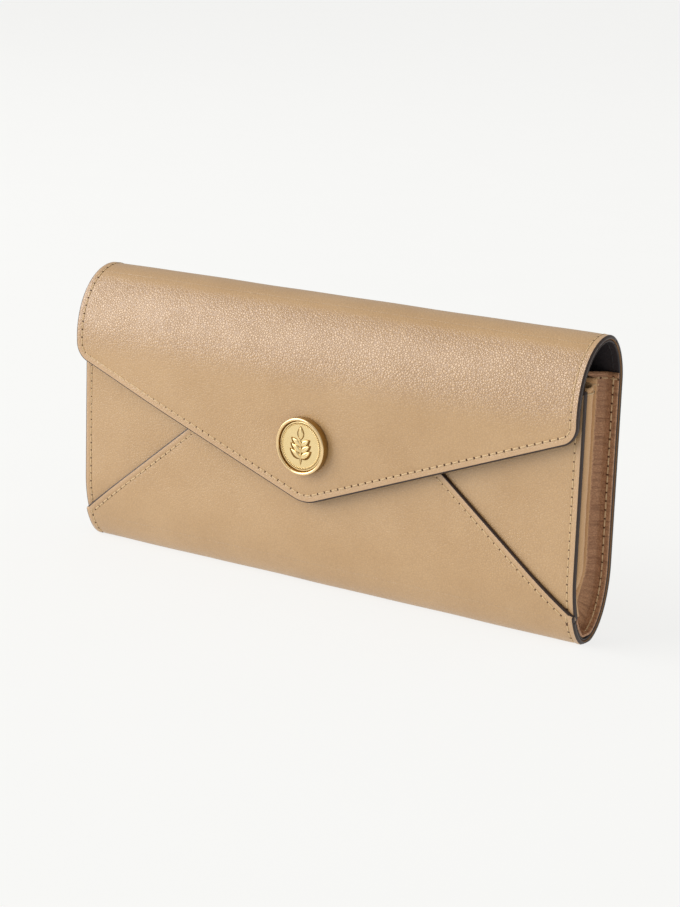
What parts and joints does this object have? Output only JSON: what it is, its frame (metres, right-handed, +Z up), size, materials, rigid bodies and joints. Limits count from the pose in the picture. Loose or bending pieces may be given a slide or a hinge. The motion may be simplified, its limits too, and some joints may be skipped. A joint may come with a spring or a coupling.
{
  "type": "long wallet",
  "caption": "Long envelope wallet standing on its bottom fold, with a V flap that unrolls, press stud under a medallion, folding gussets, card slots and a zipped coin pocket.",
  "frame": {"origin": "on the flat strip under the bottom fold that the wallet stands on, half way along it", "axes": "+X along the wallet to its right end, -Y out of the front with the flap and medallion, +Z up"},
  "size_m": [0.19, 0.0302, 0.093],
  "materials": {
    "outer_leather": "fine pebbled calf, satin, dark painted edges",
    "inside_leather": "smooth tan leather, satin",
    "gusset_leather": "soft folded leather, satin",
    "black_lining": "smooth black lining, matte",
    "pale_gold": "pale gold plate, soft polish",
    "brass_fittings": "polished plate",
    "zip_coil": "metallised coil",
    "zip_tape": "woven tape"
  },
  "bodies": {
    "shell": {"back_panel": "outer_leather", "back_lining": "black_lining", "back_card_slot_bottom": "inside_leather", "back_card_slot_middle": "inside_leather", "back_card_slot_top": "inside_leather", "gusset_rear_left": "gusset_leather", "gusset_rear_right": "gusset_leather", "gusset_base_left": "gusset_leather", "gusset_base_right": "gusset_leather"},
    "flap_rise": {"flap_rise_leather": "outer_leather", "flap_rise_lining": "black_lining"},
    "flap_crest": {"flap_crest_leather": "outer_leather", "flap_crest_lining": "black_lining"},
    "flap": {"flap_leather": "outer_leather", "flap_lining": "black_lining", "medallion_cup": "pale_gold", "medallion_face": "pale_gold", "medallion_relief": "pale_gold", "cap_post": "brass_fittings", "snap_socket": "brass_fittings"},
    "coin_pocket": {"pocket_front_wall": "inside_leather", "pocket_back_wall": "inside_leather", "pocket_bottom": "inside_leather", "pocket_side_left": "inside_leather", "pocket_side_right": "inside_leather", "gusset_crest_left": "gusset_leather", "gusset_crest_right": "gusset_leather", "zip_tape_front": "zip_tape", "zip_tape_back": "zip_tape", "zip_coil_front": "zip_coil", "zip_coil_back": "zip_coil", "zip_end_stops": "brass_fittings"},
    "front": {"front_overlay": "outer_leather", "front_side_panel_left": "outer_leather", "front_side_panel_right": "outer_leather", "front_lining": "black_lining", "front_card_slot_bottom": "inside_leather", "front_card_slot_middle": "inside_leather", "front_card_slot_top": "inside_leather", "gusset_front_left": "gusset_leather", "gusset_front_right": "gusset_leather", "snap_stud": "brass_fittings", "snap_stud_washer": "brass_fittings"},
    "slider": {"zip_slider": "brass_fittings"},
    "pull_tab": {"zip_pull_tab": "brass_fittings"}
  },
  "joints": [
    {"name": "flap_open", "type": "hinge", "parent": "shell", "child": "flap_rise", "pos_m": [0, 0.01096, 0.08782], "axis": [-1, 0, 0], "range_deg": [0, 57]},
    {"name": "flap_unroll_top", "type": "hinge", "parent": "flap_rise", "child": "flap_crest", "pos_m": [0, 0.0034, 0.093], "axis": [-1, 0, 0], "range_deg": [0, 57]},
    {"name": "flap_unroll_front", "type": "hinge", "parent": "flap_crest", "child": "flap", "pos_m": [0, -0.01087, 0.08375], "axis": [-1, 0, 0], "range_deg": [0, 57]},
    {"name": "pocket_lean", "type": "hinge", "parent": "shell", "child": "coin_pocket", "pos_m": [0, -0.00832, 0.008], "axis": [1, 0, 0], "range_deg": [0, 6]},
    {"name": "front_lean", "type": "hinge", "parent": "coin_pocket", "child": "front", "pos_m": [0, -0.00832, 0.008], "axis": [1, 0, 0], "range_deg": [0, 6]},
    {"name": "zip_slide", "type": "slide", "parent": "coin_pocket", "child": "slider", "axis": [-1, 0, 0], "range_m": [0, 0.1408]},
    {"name": "pull_tab_swing", "type": "hinge", "parent": "slider", "child": "pull_tab", "pos_m": [0.0704, 0.0017, 0.0791], "axis": [0, 1, 0], "range_deg": [0, 150]}
  ],
  "couplings": [
    {"joint": "flap_unroll_top", "follows": "flap_open", "ratio": 1},
    {"joint": "flap_unroll_front", "follows": "flap_open", "ratio": 1},
    {"joint": "pocket_lean", "follows": "flap_open", "ratio": 0.105},
    {"joint": "front_lean", "follows": "flap_open", "ratio": 0.105}
  ]
}
